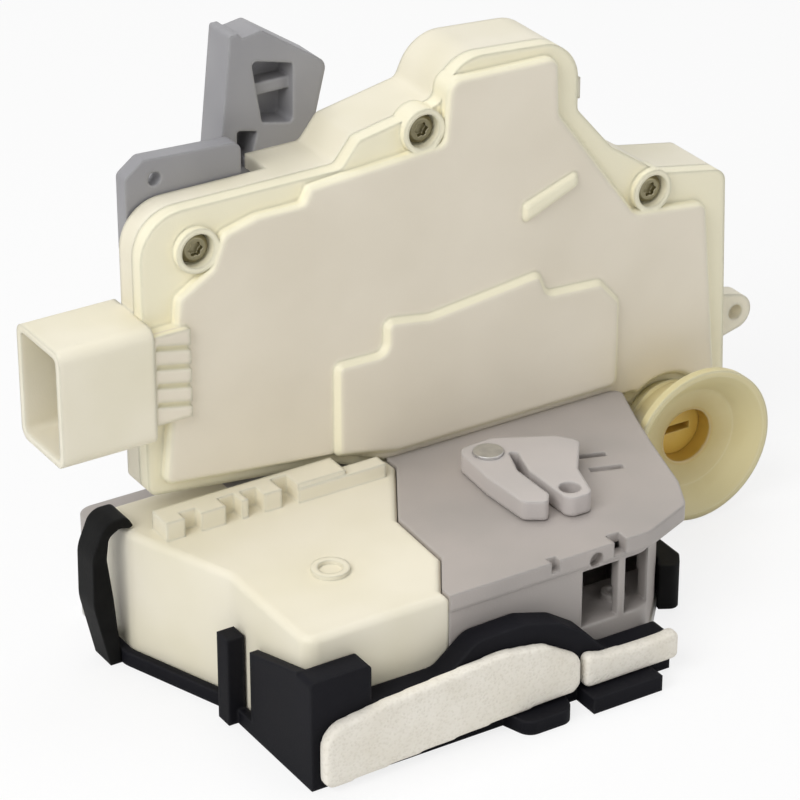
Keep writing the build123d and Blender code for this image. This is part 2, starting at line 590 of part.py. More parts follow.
def worm(x, wheel_y, can_y):
    """Motor shaft and the core of its worm."""
    low = wheel_y - WORM_LONG / 2
    rod = Pos(0, (low - 2 + can_y + 4) / 2, 0) * Rot(90, 0, 0) * Cylinder(MOTOR_SHAFT_R, can_y + 4 - low + 2)
    core = Pos(0, wheel_y, 0) * Rot(90, 0, 0) * Cylinder(WORM_R, WORM_LONG)
    return Pos(x, 0, -MOTOR_DEPTH) * (rod + core)


def worm_wheel(x, y):
    """Toothed wheel whose peg stands behind it, at its starting angle."""
    face = Circle(WHEEL_R - TOOTH_IN)
    root, tip = WHEEL_R - TOOTH_IN - 0.3, WHEEL_R + TOOTH_OUT
    tooth = make_face(Polyline((root, -0.72), (tip, -0.22), (tip, 0.22), (root, 0.72), close=True))
    face += [Rot(0, 0, 180 + i * 360 / WHEEL_TEETH) * tooth for i in range(WHEEL_TEETH)]
    face -= Circle(PIVOT_R + RUN)
    near, far = MOTOR_DEPTH - WHEEL_THICK / 2, MOTOR_DEPTH + WHEEL_THICK / 2
    wheel = layer(face, near, far)
    wheel += layer(Circle(PIVOT_R + 1.8) - Circle(PIVOT_R + RUN), near - 2, near)
    groove = Circle(WHEEL_R - 2.4) - Circle(PIVOT_R + 1.8)
    wheel -= layer(groove, near - 1, near + 1.2)
    wheel += layer(disc(*polar(PEG_OUT, PEG_START), PEG_R), far, far + GAP + SLIDER_THICK)
    return Pos(x, y, 0) * wheel


def slider(x, y, low, high):
    """Flat bar behind a wheel, moved by its peg in a cross slot."""
    left = x + PEG_OUT - SLIDER_WIDE / 2 - 0.1
    bar = outline([(left, low), (left + SLIDER_WIDE, low), (left + SLIDER_WIDE, high), (left, high)], 1)
    peg_x, peg_y = polar(PEG_OUT, PEG_START)
    half = PEG_R + GAP
    slot = block(x + peg_x - half, x + PEG_OUT + half, y + peg_y - half, y + peg_y + half)
    near = MOTOR_DEPTH + WHEEL_THICK / 2 + GAP
    return layer(bar - slot, near, near + SLIDER_THICK)


def switch_body():
    body = Box(SWITCH_LONG, SWITCH_TALL, SWITCH_THICK)
    return body - Pos(SWITCH_LONG / 4, SWITCH_TALL / 2, 0) * Rot(90, 0, 0) * Cylinder(PLUNGER_R + RUN, 6)


def switch_plunger():
    stem = Pos(0, -1.2, 0) * Rot(90, 0, 0) * Cylinder(PLUNGER_R, 2 * PLUNGER_OUT)
    return Pos(SWITCH_LONG / 4, SWITCH_TALL / 2 + PLUNGER_OUT, 0) * stem


SWITCHES = {
    "catch_switch": Pos(CATCH_X, CATCH_Y, CATCH_SWITCH_Z)
    * Rot(0, 0, SWITCH_TURN + 90)
    * Pos(-SWITCH_LONG / 4, -CATCH_SWITCH_OUT, 0),
    "lock_switch": CASE.location * Pos(CASE_WIDE - 28, 23, -SWITCH_DEPTH) * Rot(0, 0, 90),
    "key_switch": CASE.location * Pos(CASE_WIDE - 16, 6, -SWITCH_DEPTH),
}


def lead_frame():
    """Stamped tracks from the connector to the motors and switches."""
    routes = [
        [(4, 19), (20, 19), (20, 30), (33, 30)],
        [(4, 24), (14, 24), (14, 38), (33, 38)],
    ]
    tracks = None
    for route in routes:
        for (x0, y0), (x1, y1) in zip(route, route[1:]):
            piece = block(min(x0, x1) - 1, max(x0, x1) + 1, min(y0, y1) - 1, max(y0, y1) + 1)
            bar = layer(piece, 8.2, SHALLOW_DEEP - WALL)
            tracks = bar if tracks is None else tracks + bar
    return tracks


def tower_outline():
    """Cable bracket, drawn up from the frame."""
    left, high = TOWER_LEFT, TOWER_HIGH
    right = left + TOWER_WIDE
    points = [(left - 3.2, 54), (left - 0.2, high), (left + 1.5, high), (left + 2.5, high - 1)]
    points += [(left + 6.8, high - 0.3), (right, TOWER_LOW), (right - 4.5, 54)]
    return outline(points, [0, 0.5, 0.5, 1, 1.5, 2.5, 0])


def carrier_frame():
    """Grey frame behind the case, with the cable bracket, an ear for the harness and feet on the latch."""
    plate = block(SHALLOW_WIDE, DOME_RIGHT, FLOOR_LOW - 2, LEFT_TOP - 1)
    plate = case_outline() & (plate + block(DOME_RIGHT - 9, CASE_WIDE - 8, FLOOR_LOW - 2, SHOULDER - 6))
    near = CASE_DEEP
    frame = layer(plate, near, near + CARRIER_PLATE)
    frame += layer(plate - offset(plate, amount=-WALL), near, CARRIER_DEEP)
    bay = case_outline() & block(BAY_LEFT, SHALLOW_WIDE, 2, LEFT_TOP - 3)
    side = layer(bay, SHALLOW_DEEP, CARRIER_DEEP)
    side -= layer(offset(bay, amount=-WALL), SHALLOW_DEEP + WALL, CARRIER_DEEP + 1)
    frame += side
    ear = outline([(2, 46), (2, EAR_TOP - 3), (6, EAR_TOP), (27, EAR_TOP - 1), (27, 46)], [0, 1.5, 1.5, 2, 0])
    ear -= disc(8.3, 60.2, CABLE_R)
    frame += layer(ear, SHALLOW_DEEP + 0.5, SHALLOW_DEEP + 4)
    left, high = TOWER_LEFT, TOWER_HIGH
    pocket = outline([(left + 6.4, 62.5), (left + 4.2, high - 6), (left + 13.6, high - 8.4), (left + 13.4, 61)], 1)
    slot = outline([(left + 0.8, 62), (left + 5.5, 61), (left + 3.5, 54), (left + 0.8, 54)], 0.6)
    frame += layer(tower_outline(), near, CARRIER_DEEP) - layer(pocket + slot, near - 1, CARRIER_DEEP - WALL)
    frame += layer(block(left + 4, left + 15, 67.6, 70) & pocket, near + 2, CARRIER_DEEP - WALL)
    frame -= layer(disc(left + 6.4, high - 8.6, CABLE_R), near - 1, CARRIER_DEEP + 1)
    foot = block(18, 92, REAR_TOP - CASE_FLOOR, FLOOR_LOW + 1) - case_outline()
    frame += layer(foot, near, CARRIER_DEEP - 2)
    frame += layer(disc(*INNER_PIVOT, 3.0), near, CARRIER_DEEP - 0.5)
    return frame


def inner_release_lever():
    """Flat lever behind the frame, pulled by the inside handle's cable."""
    x, y = INNER_PIVOT
    hook, toe = (x - 11, y + 23), (x + 6, y - 26)
    face = make_hull((disc(*INNER_PIVOT, 6) + disc(*hook, 3.5)).edges())
    face += make_hull((disc(*INNER_PIVOT, 5) + disc(*toe, 3)).edges())
    face -= disc(*hook, 1.8) + disc(*INNER_PIVOT, 3.0 + RUN)
    near = CASE_DEEP + CARRIER_PLATE + GAP
    return layer(face, near, near + 2.5)


# Key cylinder


def key_funnel():
    """Dished guide in front of the case, with a tube that runs back past its lower corner."""
    bore, rim, front = KEY_BORE_R, FUNNEL_R, FUNNEL_LONG
    throat = front - FUNNEL_DEEP
    profile = [(bore, -CASE_DEEP + 3), (bore, throat), (bore + 5, throat + 1.2), (rim - 3, front - 1.4)]
    profile += [(rim - 1.2, front), (rim, front), (rim, front - 2), (rim - 4, front - 6), (KEY_TUBE_R + 1.5, 1.5)]
    profile += [(KEY_TUBE_R + 1.5, 0.2), (KEY_TUBE_R, 0.2), (KEY_TUBE_R, -CASE_DEEP + 3)]
    face = make_face(Polyline(*profile, close=True))
    body = revolve(Plane.XZ * face, Axis.Z)
    return Pos(KEY_X, KEY_Y, 0) * body


def key_rotor():
    rotor = layer(Circle(KEY_BORE_R - RUN) - Rectangle(7, 1.6), -4, CASE_DEEP - 3 + GAP)
    crank = make_hull((Circle(KEY_BORE_R - 1) + disc(-6, -9, 2.2)).edges())
    rotor += layer(crank, CASE_DEEP - 3 + GAP, CASE_DEEP - 0.4)
    return Pos(KEY_X, KEY_Y, 0) * rotor


LOCK_CAN_Y = LOCK_Y + WORM_LONG / 2 + CAN_GAP
SAFE_CAN_Y = SAFE_Y + WORM_LONG / 2 + CAN_GAP
LOCK_MOTOR_X = LOCK_X - CENTRE_GAP
SAFE_MOTOR_X = SAFE_X - CENTRE_GAP
FOAM_LEFT = [(-37.6, 1), (-37.6, 13.6), (-24, 15.4), (2, 17.4), (11, 16), (19, 11.2), (19, 4), (2.5, 3.4)]
FOAM_RIGHT = [(20.5, 3.8), (20.5, 11), (25, 9.6), (36, 9.2), (42, 9.6), (42, 3.8)]

PARTS = {
    "faceplate": faceplate(),
    "latch_screws": latch_screws(),
    "back_plate": back_plate(),
    "catch_pin": pivot_pin(CATCH_X, CATCH_Y),
    "pawl_pin": pivot_pin(PAWL_X, PAWL_Y),
    "catch": catch(),
    "pawl": pawl(),
    "catch_spring": torsion_spring(CATCH_X, CATCH_Y, 200),
    "pawl_spring": torsion_spring(PAWL_X, PAWL_Y, 20),
    "latch_housing": latch_housing(),
    "lever_cover": lever_cover(),
    "base_guide": base_guide(),
    "foam_strip_left": foam(FOAM_LEFT, [2, 5, 2, 3, 3, 2, 2, 0]),
    "foam_strip_right": foam(FOAM_RIGHT, [1, 1, 1, 1, 1, 1]),
    "seal_hook": seal_hook(),
    "corner_seal": corner_seal(),
    "striker_bumper": striker_bumper(),
    "outer_release_lever": outer_release_lever(),
    "release_shaft": release_shaft(),
}

CASE_PARTS = {
    "actuator_cover": actuator_cover(),
    "cover_screws": cover_screws(),
    "actuator_tray": actuator_tray(),
    "connector_pins": connector_pins(),
    "lead_frame": lead_frame(),
    "lock_motor": motor_can(LOCK_MOTOR_X, LOCK_CAN_Y),
    "lock_motor_cap": motor_cap(LOCK_MOTOR_X, LOCK_CAN_Y),
    "lock_worm": worm(LOCK_MOTOR_X, LOCK_Y, LOCK_CAN_Y),
    "lock_wheel": worm_wheel(LOCK_X, LOCK_Y),
    "lock_slider": slider(LOCK_X, LOCK_Y, -6, 39),
    "safe_motor": motor_can(SAFE_MOTOR_X, SAFE_CAN_Y),
    "safe_motor_cap": motor_cap(SAFE_MOTOR_X, SAFE_CAN_Y),
    "safe_worm": worm(SAFE_MOTOR_X, SAFE_Y, SAFE_CAN_Y),
    "safe_wheel": worm_wheel(SAFE_X, SAFE_Y),
    "safe_slider": slider(SAFE_X, SAFE_Y, -9, 20),
    "carrier_frame": carrier_frame(),
    "inner_release_lever": inner_release_lever(),
    "key_funnel": key_funnel(),
    "key_rotor": key_rotor(),
}

PARTS |= {name: CASE.location * shape for name, shape in CASE_PARTS.items()}
for name, place in SWITCHES.items():
    PARTS[name] = place * switch_body()
    PARTS[name.replace("switch", "plunger")] = place * switch_plunger()

os.makedirs("parts", exist_ok=True)
for name, shape in PARTS.items():
    export_step(shape, f"parts/{name}.step")
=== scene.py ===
"""Side door latch actuator of a car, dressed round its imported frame.

The sections follow the latch as it is put together: steel faceplate and catch first, then the housing
and the seals, the case with its motors and wheels, the frame behind it and the key funnel.
"""
import math

import bmesh
import bpy
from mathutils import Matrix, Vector


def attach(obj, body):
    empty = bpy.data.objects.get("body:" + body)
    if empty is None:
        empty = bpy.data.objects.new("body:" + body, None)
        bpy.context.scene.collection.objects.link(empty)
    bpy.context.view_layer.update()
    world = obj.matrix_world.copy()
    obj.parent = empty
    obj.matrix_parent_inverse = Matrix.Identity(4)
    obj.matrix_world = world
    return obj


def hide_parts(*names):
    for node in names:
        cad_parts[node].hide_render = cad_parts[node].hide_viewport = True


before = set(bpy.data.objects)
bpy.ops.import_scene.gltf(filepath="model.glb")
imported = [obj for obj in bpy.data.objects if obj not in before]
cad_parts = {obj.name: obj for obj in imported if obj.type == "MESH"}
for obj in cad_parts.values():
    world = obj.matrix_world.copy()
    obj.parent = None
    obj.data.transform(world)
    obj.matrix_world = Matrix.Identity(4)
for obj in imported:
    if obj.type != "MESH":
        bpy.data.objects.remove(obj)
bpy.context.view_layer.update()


# Camera: a long lens on the connector side, looking down on the latch at the elevation given.
# It keeps no shift and no depth of field.
LENS, SENSOR_WIDE, VIEW_FAR = 162, 36, 10
CAMERA_PLACE = (-0.3193, -0.5078, 0.3770)
AZIMUTH, ELEVATION = -32, 28

camera = bpy.data.objects.new("camera", bpy.data.cameras.new("camera"))
bpy.context.collection.objects.link(camera)
camera.location = CAMERA_PLACE
camera.rotation_euler = (math.radians(90 - ELEVATION), 0, math.radians(AZIMUTH))
camera.data.lens = LENS
camera.data.sensor_width = SENSOR_WIDE
camera.data.clip_end = VIEW_FAR
bpy.context.scene.camera = camera


# Lamps: three soft panels round the latch, the strongest high on the connector side.
# They are dim enough that a pale plastic keeps its colour.
LATCH_MIDDLE = Vector((0.03, 0.02, 0.05))
LAMPS = {
    "key": ((-0.76, -0.30, 0.76), (0.70, 0.70), 7.6),
    "fill": ((0.75, -0.75, 0.35), (0.80, 0.80), 2.0),
    "top": ((0.10, 0.35, 1.10), (0.80, 0.50), 4.0),
}
for name, (place, (wide, high), power) in LAMPS.items():
    light = bpy.data.lights.new(name, "AREA")
    light.shape = "RECTANGLE"
    light.size, light.size_y, light.energy = wide, high, power
    lamp = bpy.data.objects.new(name, light)
    lamp.location = place
    lamp.rotation_euler = (LATCH_MIDDLE - lamp.location).to_track_quat("-Z", "Y").to_euler()
    bpy.context.collection.objects.link(lamp)
bpy.context.scene.view_settings.view_transform = "Standard"


# Room and floor: white paper all round, which metal and gloss reflect.
# The eye sees plain white, and the floor keeps the shadow.
class Value:
    """A socket of a node tree, so that sums and products of it add their own Math nodes."""

    def __init__(self, tree, socket):
        self.tree, self.socket = tree, socket

    def math(self, operation, *values):
        return self.tree.node("ShaderNodeMath", {"operation": operation}, *values)

    def __add__(self, other):
        return self.math("ADD", self, other)

    def __sub__(self, other):
        return self.math("SUBTRACT", self, other)

    def __rsub__(self, other):
        return self.math("SUBTRACT", other, self)

    def __mul__(self, other):
        return self.math("MULTIPLY", self, other)

    def __truediv__(self, other):
        return self.math("DIVIDE", self, other)

    __radd__ = __add__
    __rmul__ = __mul__


class Tree:
    """The nodes of a material, a room or a shape, added a line at a time."""

    def __init__(self, tree):
        self.tree = tree

    def node(self, kind, settings, *values, out=0, **named):
        new = self.tree.nodes.new(kind)
        for key, value in settings.items():
            setattr(new, key, value)
        for socket, value in zip(new.inputs, values):
            self.join(value, socket)
        for key, value in named.items():
            self.join(value, new.inputs[key.replace("_", " ")])
        return Value(self, new.outputs[out]) if len(new.outputs) else new

    def join(self, value, socket):
        if isinstance(value, Value):
            self.tree.links.new(value.socket, socket)
        elif value is not None:
            socket.default_value = value


PLAIN_LIGHT, WHITE = 0.32, 1.0
world = bpy.data.worlds.new("white room")
bpy.context.scene.world = world
world.use_nodes = True
room = Tree(world.node_tree)
room.tree.nodes.clear()
seen = 0.0
for ray in ("Is Camera Ray", "Is Glossy Ray", "Is Transmission Ray"):
    here = room.node("ShaderNodeLightPath", {}, out=ray)
    seen = here.math("MAXIMUM", here, seen)
dim = room.node("ShaderNodeBackground", {}, (1, 1, 1, 1), PLAIN_LIGHT)
bright = room.node("ShaderNodeBackground", {}, (1, 1, 1, 1), WHITE)
room.node("ShaderNodeOutputWorld", {}, room.node("ShaderNodeMixShader", {}, seen, dim, bright))

FLOOR_HALF, FLOOR_DROP, FLOOR_WHITE, PAPER = 3.0, 0.0002, 0.8, (0.92, 0.92, 0.92, 1)
floor_mesh = bpy.data.meshes.new("floor")
corners = [(x * FLOOR_HALF, y * FLOOR_HALF, -FLOOR_DROP) for x, y in ((-1, -1), (1, -1), (1, 1), (-1, 1))]
floor_mesh.from_pydata(corners, [], [(0, 1, 2, 3)])
floor = bpy.data.objects.new("floor", floor_mesh)
bpy.context.collection.objects.link(floor)
paper_material = bpy.data.materials.new("white paper")
paper_material.use_nodes = True
paper = Tree(paper_material.node_tree)
paper.tree.nodes.clear()
look = paper.node("ShaderNodeLightPath", {}, out="Is Camera Ray")
matt = paper.node("ShaderNodeBsdfDiffuse", {}, PAPER)
glow = paper.node("ShaderNodeEmission", {}, (1, 1, 1, 1), 1.0)
both_ways = paper.node("ShaderNodeMixShader", {}, look * FLOOR_WHITE, matt, glow)
paper.node("ShaderNodeOutputMaterial", {}, both_ways)
floor_mesh.materials.append(paper_material)


# Faceplate, back plate and inside release lever: pressed from steel sheet and zinc plated.
# The mill leaves a long grain, the zinc a soft cloud, and handling polishes the edges.
class Finish(Tree):
    """One material, whose patterns lie on the place of the piece in the latch."""

    def __init__(self, name):
        self.material = bpy.data.materials.new(name)
        self.material.use_nodes = True
        super().__init__(self.material.node_tree)
        self.shader = self.tree.nodes["Principled BSDF"]
        self.place = self.node("ShaderNodeTexCoord", {}, out="Object")
        self.soft = None

    def noise(self, scale, detail=3.0, stretch=(1, 1, 1)):
        spot = self.node("ShaderNodeMapping", {}, self.place, Scale=stretch)
        return self.node("ShaderNodeTexNoise", {}, Vector=spot, Scale=scale, Detail=detail)

    def along(self, axis):
        """Distance of the surface from the origin along X, Y or Z, in millimetres."""
        return self.node("ShaderNodeSeparateXYZ", {}, self.place, out=axis) * 1000

    def step(self, value, low, high):
        return self.node("ShaderNodeMapRange", {"clamp": True}, value, low, high, 0.0, 1.0)

    def mix(self, amount, first, second):
        blank = [None] * 5
        return self.node("ShaderNodeMix", {"data_type": "RGBA"}, amount, *blank, first, second, out=2)

    def edge(self, width, low=0.02, high=0.25):
        """Where the surface turns within this width. The same rounding softens the bump."""
        self.soft = self.node("ShaderNodeBevel", {"samples": 4}, width)
        hard = self.node("ShaderNodeNewGeometry", {}, out="Normal")
        same = self.node("ShaderNodeVectorMath", {"operation": "DOT_PRODUCT"}, self.soft, hard, out="Value")
        return self.step(1 - same, low, high)

    def bump(self, height, strength, deep):
        relief = {"Strength": strength, "Distance": deep, "Height": height, "Normal": self.soft}
        return self.node("ShaderNodeBump", {}, **relief)

    def done(self, **values):
        for key, value in values.items():
            self.join(value, self.shader.inputs[key.replace("_", " ")])
        return self.material


def dress(material, *nodes):
    for node in nodes:
        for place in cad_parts[node].material_slots:
            place.material = material


STEEL_EDGE, MILL_DEEP, WORN_STEEL = 0.00035, 0.00005, (0.80, 0.80, 0.78, 1)


def steel(name, colour, dark, grain, rough=0.34, worn=WORN_STEEL):
    finish = Finish(name)
    mill = finish.noise(700, stretch=grain)
    cloud = finish.noise(70)
    tone = finish.mix(finish.step(cloud, 0.35, 0.68), colour, dark)
    tone = finish.mix(finish.edge(STEEL_EDGE) * 0.7, tone, worn)
    uneven = rough + (cloud - 0.5) * 0.22 + (mill - 0.5) * 0.16
    normal = finish.bump(mill, 0.2, MILL_DEEP)
    return finish.done(Base_Color=tone, Metallic=1.0, Roughness=uneven, Normal=normal)


ZINC, ZINC_DARK = (0.62, 0.615, 0.58, 1), (0.50, 0.50, 0.475, 1)
GRAIN_ALONG_X, GRAIN_ALONG_Z, NO_GRAIN = (0.06, 1, 1), (1, 1, 0.06), (1, 1, 1)
dress(steel("zinc plated faceplate", ZINC, ZINC_DARK, GRAIN_ALONG_X), "faceplate", "back_plate")
dress(steel("zinc plated lever", ZINC, ZINC_DARK, GRAIN_ALONG_Z), "inner_release_lever")


# Pivot pins and release shaft: turned from steel bar, with the fine rings of the lathe on their ends.
# Each pin stands between the faceplate and the back plate, on a shoulder under its lever.
def turned_steel(name, centre):
    finish = Finish(name)
    east, north = finish.along("X") - centre[0], finish.along("Y") - centre[1]
    radius = finish.node("ShaderNodeMath", {"operation": "SQRT"}, east * east + north * north)
    rings = finish.node("ShaderNodeMath", {"operation": "SINE"}, radius * 28)
    scuff = finish.noise(420)
    tone = finish.mix(finish.step(scuff, 0.4, 0.75), (0.60, 0.60, 0.59, 1), (0.46, 0.46, 0.46, 1))
    tone = finish.mix(finish.edge(0.0003) * 0.6, tone, (0.82, 0.82, 0.80, 1))
    normal = finish.bump(rings, 0.12, 0.00003)
    return finish.done(Base_Color=tone, Metallic=1.0, Roughness=0.24 + scuff * 0.16, Normal=normal)


PINS = {"catch_pin": (-14.0, 20.0), "pawl_pin": (17.6, -2.0), "release_shaft": (26.1, 12.0)}
for node, centre in PINS.items():
    dress(turned_steel("turned " + node.replace("_", " "), centre), node)


# Catch and pawl: fine-blanked steel, coated in dark moulded plastic that keeps the latch quiet.
# The working rims wear through to bright steel.
def coated(name, colour, sheen):
    finish = Finish(name)
    cloud, scratch = finish.noise(110), finish.noise(900, stretch=(1, 0.12, 1))
    worn = finish.step(finish.edge(0.0005, 0.05, 0.5) * finish.step(scratch, 0.35, 0.6), 0.3, 0.7)
    tone = finish.mix(finish.step(cloud, 0.35, 0.7), colour, sheen)
    tone = finish.mix(worn, tone, (0.58, 0.57, 0.55, 1))
    normal = finish.bump(scratch, 0.18, 0.00005)
    return finish.done(Base_Color=tone, Metallic=worn, Roughness=0.42 - worn * 0.12, Normal=normal)


dress(coated("coated catch", (0.035, 0.040, 0.038, 1), (0.055, 0.060, 0.056, 1)), "catch")
dress(coated("coated pawl", (0.060, 0.058, 0.050, 1), (0.085, 0.080, 0.070, 1)), "pawl")


# Catch and pawl springs: two and a half turns of round wire, 1.4 mm thick, slipped over each pin.
# The legs are short and stay still: each spring is drawn as it lies with the latch open.
def closed_mesh(name, source):
    """A plain mesh of what an object's modifiers make, at the object's place."""
    made = bpy.data.meshes.new_from_object(source.evaluated_get(bpy.context.evaluated_depsgraph_get()))
    bpy.data.objects.remove(source)
    piece = bpy.data.objects.new(name, made)
    bpy.context.collection.objects.link(piece)
    return piece


def shape_tree(name, **sizes):
    """A Geometry Nodes tree with the named inputs, each one a number, an object or a material."""
    group = bpy.data.node_groups.new(name, "GeometryNodeTree")
    group.interface.new_socket("Geometry", in_out="INPUT", socket_type="NodeSocketGeometry")
    for key, kind in sizes.items():
        group.interface.new_socket(key.replace("_", " "), in_out="INPUT", socket_type="NodeSocket" + kind)
    group.interface.new_socket("Geometry", in_out="OUTPUT", socket_type="NodeSocketGeometry")
    tree = Tree(group)
    given = group.nodes.new("NodeGroupInput")
    return tree, {socket.name: Value(tree, socket) for socket in given.outputs if socket.name}


def shape_end(tree, shape, material, smooth=True):
    whole = tree.node("GeometryNodeRealizeInstances", {}, shape)
    whole = tree.node("GeometryNodeSetShadeSmooth", {}, whole, Shade_Smooth=smooth)
    whole = tree.node("GeometryNodeSetMaterial", {}, whole, Material=material)
    tree.node("NodeGroupOutput", {}, whole)


def grown(name, points, edges, tree, **sizes):
    """The piece that a tree makes from a few points."""
    mesh = bpy.data.meshes.new(name)
    mesh.from_pydata(points, edges, [])
    source = bpy.data.objects.new(name + " points", mesh)
    bpy.context.collection.objects.link(source)
    modifier = source.modifiers.new("shape", "NODES")
    modifier.node_group = tree.tree
    for item in tree.tree.interface.items_tree:
        if item.in_out == "INPUT" and item.name.replace(" ", "_") in sizes:
            modifier[item.identifier] = sizes[item.name.replace(" ", "_")]
    source.update_tag()
    return closed_mesh(name, source)


wire_tree, given = shape_tree("wire along a line", Wire_Radius="Float", Sides="Int", Material="Material")
line = wire_tree.node("GeometryNodeMeshToCurve", {}, given["Geometry"])
ring = wire_tree.node("GeometryNodeCurvePrimitiveCircle", {}, given["Sides"], Radius=given["Wire Radius"])
wire = wire_tree.node("GeometryNodeCurveToMesh", {}, line, ring, Fill_Caps=True)
shape_end(wire_tree, wire, given["Material"])

WIRE_STEEL, WIRE_DARK = (0.55, 0.55, 0.53, 1), (0.42, 0.42, 0.40, 1)
spring_steel = steel("drawn spring wire", WIRE_STEEL, WIRE_DARK, NO_GRAIN, rough=0.26)
WIRE_RADIUS, COIL_RADIUS, COIL_TURNS, COIL_PITCH, COIL_LOW = 0.0007, 0.0056, 2.5, 0.00155, 0.0109
TURN_STEPS, WIRE_SIDES, LEG_LONG = 28, 12, 0.0026
for node, centre, start in (("catch_spring", PINS["catch_pin"], 200), ("pawl_spring", PINS["pawl_pin"], 20)):
    route = []
    for i in range(int(TURN_STEPS * COIL_TURNS) + 1):
        turn = i / TURN_STEPS
        angle = math.radians(start) + turn * math.tau
        x, y = COIL_RADIUS * math.cos(angle), COIL_RADIUS * math.sin(angle)
        route.append(Vector((centre[0] / 1000 + x, centre[1] / 1000 + y, COIL_LOW + turn * COIL_PITCH)))
    first, last = (route[0] - route[1]).normalized(), (route[-1] - route[-2]).normalized()
    route = [route[0] + first * LEG_LONG] + route + [route[-1] + last * LEG_LONG]
    links = [(i, i + 1) for i in range(len(route) - 1)]
    sizes = {"Wire_Radius": WIRE_RADIUS, "Sides": WIRE_SIDES, "Material": spring_steel}
    spring = grown(node + "_wire", route, links, wire_tree, **sizes)
    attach(spring, "latch_body")
    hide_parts(node)


# Screws: three countersunk ones hold the faceplate to the housing, and three pan-headed ones the cover.
# They are cold-headed steel with a six-lobed socket, black oiled under the latch and olive on the cover.
def screw_head(name, profile, socket_radius, socket_deep, steps=48):
    """A turned head with its face up at height 0 and a six-lobed socket in it."""
    lobed = [(socket_radius, 0, True), (socket_radius * 0.96, -socket_deep, True), (0, -socket_deep, True)]
    rings = [(radius, height, False) for radius, height in profile] + lobed
    sheet = bmesh.new()
    rows = []
    for radius, height, star in rings:
        row = []
        for i in range(steps if radius else 1):
            angle = math.tau * i / steps
            reach = radius * (1 + 0.13 * math.cos(6 * angle)) if star else radius
            row.append(sheet.verts.new((reach * math.cos(angle), reach * math.sin(angle), height)))
        rows.append(row)
    for lower, upper in zip(rows, rows[1:]):
        for i in range(steps):
            j = (i + 1) % steps
            loop = [lower[k % len(lower)] for k in (i, j)] + [upper[k % len(upper)] for k in (j, i)]
            sheet.faces.new(list(dict.fromkeys(loop)))
    bmesh.ops.recalc_face_normals(sheet, faces=sheet.faces)
    mesh = bpy.data.meshes.new(name)
    sheet.to_mesh(mesh)
    sheet.free()
    piece = bpy.data.objects.new(name, mesh)
    bpy.context.collection.objects.link(piece)
    return piece


screw_tree, given = shape_tree("a screw at each point", Screw="Object", Turn="Vector", Material="Material")
screw_shape = screw_tree.node("GeometryNodeObjectInfo", {}, given["Screw"], out="Geometry")
each = screw_tree.node(
    "GeometryNodeInstanceOnPoints", {}, given["Geometry"], Instance=screw_shape, Rotation=given["Turn"]
)
shape_end(screw_tree, each, given["Material"], smooth=False)

COUNTERSUNK = [(0, -0.0094), (0.0011, -0.0094), (0.0015, -0.0088), (0.0015, -0.0018)]
COUNTERSUNK += [(0.0031, -0.0002), (0.0031, 0)]
PAN_HEAD = [(0, -0.0078), (0.0012, -0.0078), (0.0015, -0.0072), (0.0015, -0.0018), (0.0031, -0.0018)]
PAN_HEAD += [(0.0032, -0.0013), (0.0029, -0.0005), (0.0022, 0)]
FACE_DOWN, FACE_FRONT = (math.pi, 0, 0), (math.pi / 2, 0, 0)
UNDER_PLACES = [(-0.038, 0.047, 0), (0.049, 0.047, 0), (0.045, 0.004, 0)]
COVER_HEADS = [(-0.0286, 0.0299, 0.0847), (0.0215, 0.0299, 0.0975), (0.0765, 0.0299, 0.0715)]
SOCKET_RADIUS, SOCKET_DEEP = 0.0014, 0.0011
OILED, OILED_DARK, OILED_WORN = (0.10, 0.10, 0.10, 1), (0.06, 0.06, 0.06, 1), (0.35, 0.35, 0.34, 1)
OLIVE, OLIVE_DARK, OLIVE_WORN = (0.30, 0.27, 0.17, 1), (0.20, 0.18, 0.11, 1), (0.52, 0.48, 0.34, 1)
black_steel = steel("black oiled steel", OILED, OILED_DARK, NO_GRAIN, worn=OILED_WORN)
olive_steel = steel("olive zinc", OLIVE, OLIVE_DARK, NO_GRAIN, worn=OLIVE_WORN)
SETS = [("latch_screws", COUNTERSUNK, UNDER_PLACES, FACE_DOWN, black_steel)]
SETS += [("cover_screws", PAN_HEAD, COVER_HEADS, FACE_FRONT, olive_steel)]
for node, profile, places, turn, material in SETS:
    head = screw_head(node + " pattern", profile, SOCKET_RADIUS, SOCKET_DEEP)
    screws = grown(node + "_heads", places, [], screw_tree, Screw=head, Turn=turn, Material=material)
    bpy.data.objects.remove(head)
    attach(screws, "latch_body")
    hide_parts(node)


# Latch housing: the glass-filled grey moulding that carries the catch and the levers.
# Its top is satin, with a slow cloud where the melt met, and its edges are painted paler, a painted
# highlight.
def moulded(name, colour, shade, pale, rough=0.44, grain=0.22, edge=0.0010, gloss=0.4):
    finish = Finish(name)
    slow, fine = finish.noise(42, detail=2), finish.noise(2400, detail=2)
    tone = finish.mix(finish.step(slow, 0.36, 0.66), colour, shade)
    # The edges are painted the pale colour, a painted highlight where the surface turns.
    tone = finish.mix(finish.edge(edge) * 0.7, tone, pale)
    uneven, normal = rough + (slow - 0.5) * 0.14, finish.bump(fine, grain, 0.00012)
    return finish.done(Base_Color=tone, Roughness=uneven, Normal=normal, Specular_IOR_Level=gloss)


HOUSING_GREY, HOUSING_SHADE = (0.44, 0.40, 0.375, 1), (0.38, 0.35, 0.33, 1)
HOUSING_PALE = (0.60, 0.57, 0.54, 1)
dress(moulded("grey housing plastic", HOUSING_GREY, HOUSING_SHADE, HOUSING_PALE), "latch_housing")


